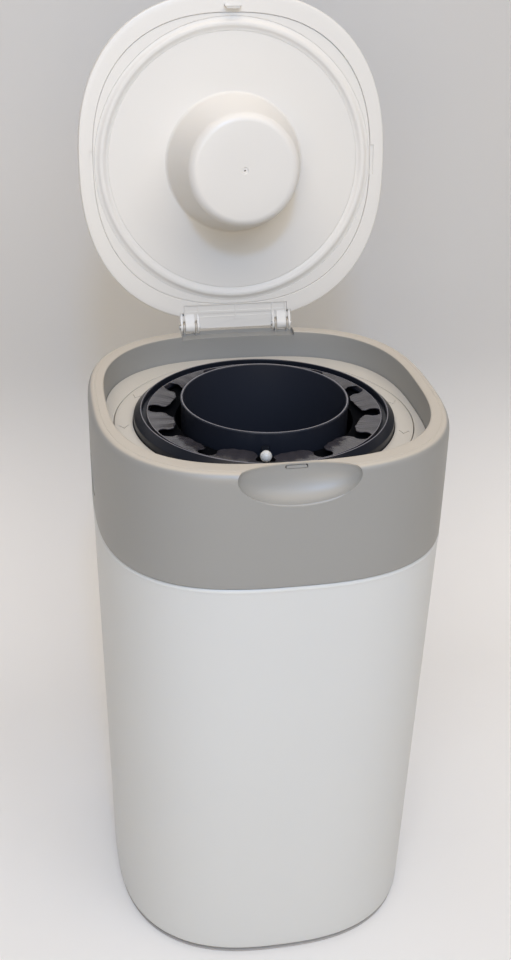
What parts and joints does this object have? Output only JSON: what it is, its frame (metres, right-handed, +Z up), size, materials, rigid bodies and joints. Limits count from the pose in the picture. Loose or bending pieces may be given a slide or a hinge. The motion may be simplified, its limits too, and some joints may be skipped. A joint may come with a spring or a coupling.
{
  "type": "nappy bin",
  "caption": "Free-standing nappy bin: tapered tub under a tilting head with a twist ring, film cassette and thumb cutter, and a hinged lid with a plunger.",
  "frame": {"origin": "centre of the foot's underside, on the floor", "axes": "+Z up; -Y towards the front, the side of the finger scoop; +X to the right as seen from the front. The rest pose is the one in which the lid stands open, leaning back 6 degrees past upright"},
  "size_m": [0.245, 0.293, 0.6602],
  "materials": {
    "tub_plastic": "satin moulded polypropylene",
    "foot_plastic": "matt",
    "steel": "zinc plated",
    "collar_plastic": "satin moulded",
    "deck_plastic": "satin moulded",
    "inner_plastic": "satin moulded",
    "slip_plastic": "smooth, low friction",
    "rubber_grey": "matt",
    "button_plastic": "satin moulded",
    "cassette_plastic": "gloss",
    "cover_plastic": "gloss, drawn film over ribs",
    "film": "pleated thin film",
    "knob_plastic": "gloss",
    "lid_plastic": "satin moulded polypropylene",
    "seal_rubber": "matt silicone"
  },
  "bodies": {
    "tub": {"tub": "tub_plastic", "foot_plate": "foot_plastic", "foot_screws": "steel", "strike_plates": "steel", "head_hinge_pins": "steel"},
    "head": {"collar": "collar_plastic", "deck": "deck_plastic", "head_frame": "inner_plastic", "slip_ring": "slip_plastic", "gripper_ring": "rubber_grey", "click_pawl": "inner_plastic", "frame_screws": "steel", "lid_hinge_pins": "steel", "button_spring_left": "steel", "button_spring_right": "steel"},
    "button_left": {"release_button_left": "button_plastic", "latch_hook_left": "inner_plastic"},
    "button_right": {"release_button_right": "button_plastic", "latch_hook_right": "inner_plastic"},
    "turntable": {"twist_ring": "deck_plastic", "cassette_well": "inner_plastic"},
    "cassette": {"cassette_tray": "cassette_plastic", "cassette_cover": "cover_plastic", "funnel_tube": "cassette_plastic", "film_pack": "film"},
    "cutter": {"cutter_carriage": "cassette_plastic", "cutter_blade": "steel", "cutter_knob": "knob_plastic"},
    "lid": {"lid_shell": "lid_plastic", "lid_liner": "lid_plastic", "lid_hinge_leaf": "lid_plastic", "plunger": "lid_plastic", "plunger_screws": "steel", "lid_seal": "seal_rubber", "lid_latch": "lid_plastic"}
  },
  "joints": [
    {"name": "head_hinge", "type": "hinge", "parent": "tub", "child": "head", "pos_m": [0, 0.1282, 0.332], "axis": [-1, 0, 0], "range_deg": [0, 95]},
    {"name": "lid_hinge", "type": "hinge", "parent": "head", "child": "lid", "pos_m": [0, 0.123, 0.418], "axis": [-1, 0, 0], "range_deg": [-98, 0]},
    {"name": "ring_turn", "type": "hinge", "parent": "head", "child": "turntable", "pos_m": [0, 0, 0.3937], "axis": [0, 0, 1], "continuous": true},
    {"name": "cassette_lift", "type": "slide", "parent": "turntable", "child": "cassette", "axis": [0, 0, 1], "range_m": [0, 0.08]},
    {"name": "cutter_turn", "type": "hinge", "parent": "cassette", "child": "cutter", "pos_m": [0, 0, 0.4], "axis": [0, 0, 1], "continuous": true},
    {"name": "release_left", "type": "slide", "parent": "head", "child": "button_left", "axis": [1, 0, 0], "range_m": [0, 0.004], "stiffness_N_per_m": 600, "deforming": ["button_spring_left"]},
    {"name": "release_right", "type": "slide", "parent": "head", "child": "button_right", "axis": [-1, 0, 0], "range_m": [0, 0.004], "stiffness_N_per_m": 600, "deforming": ["button_spring_right"]}
  ]
}
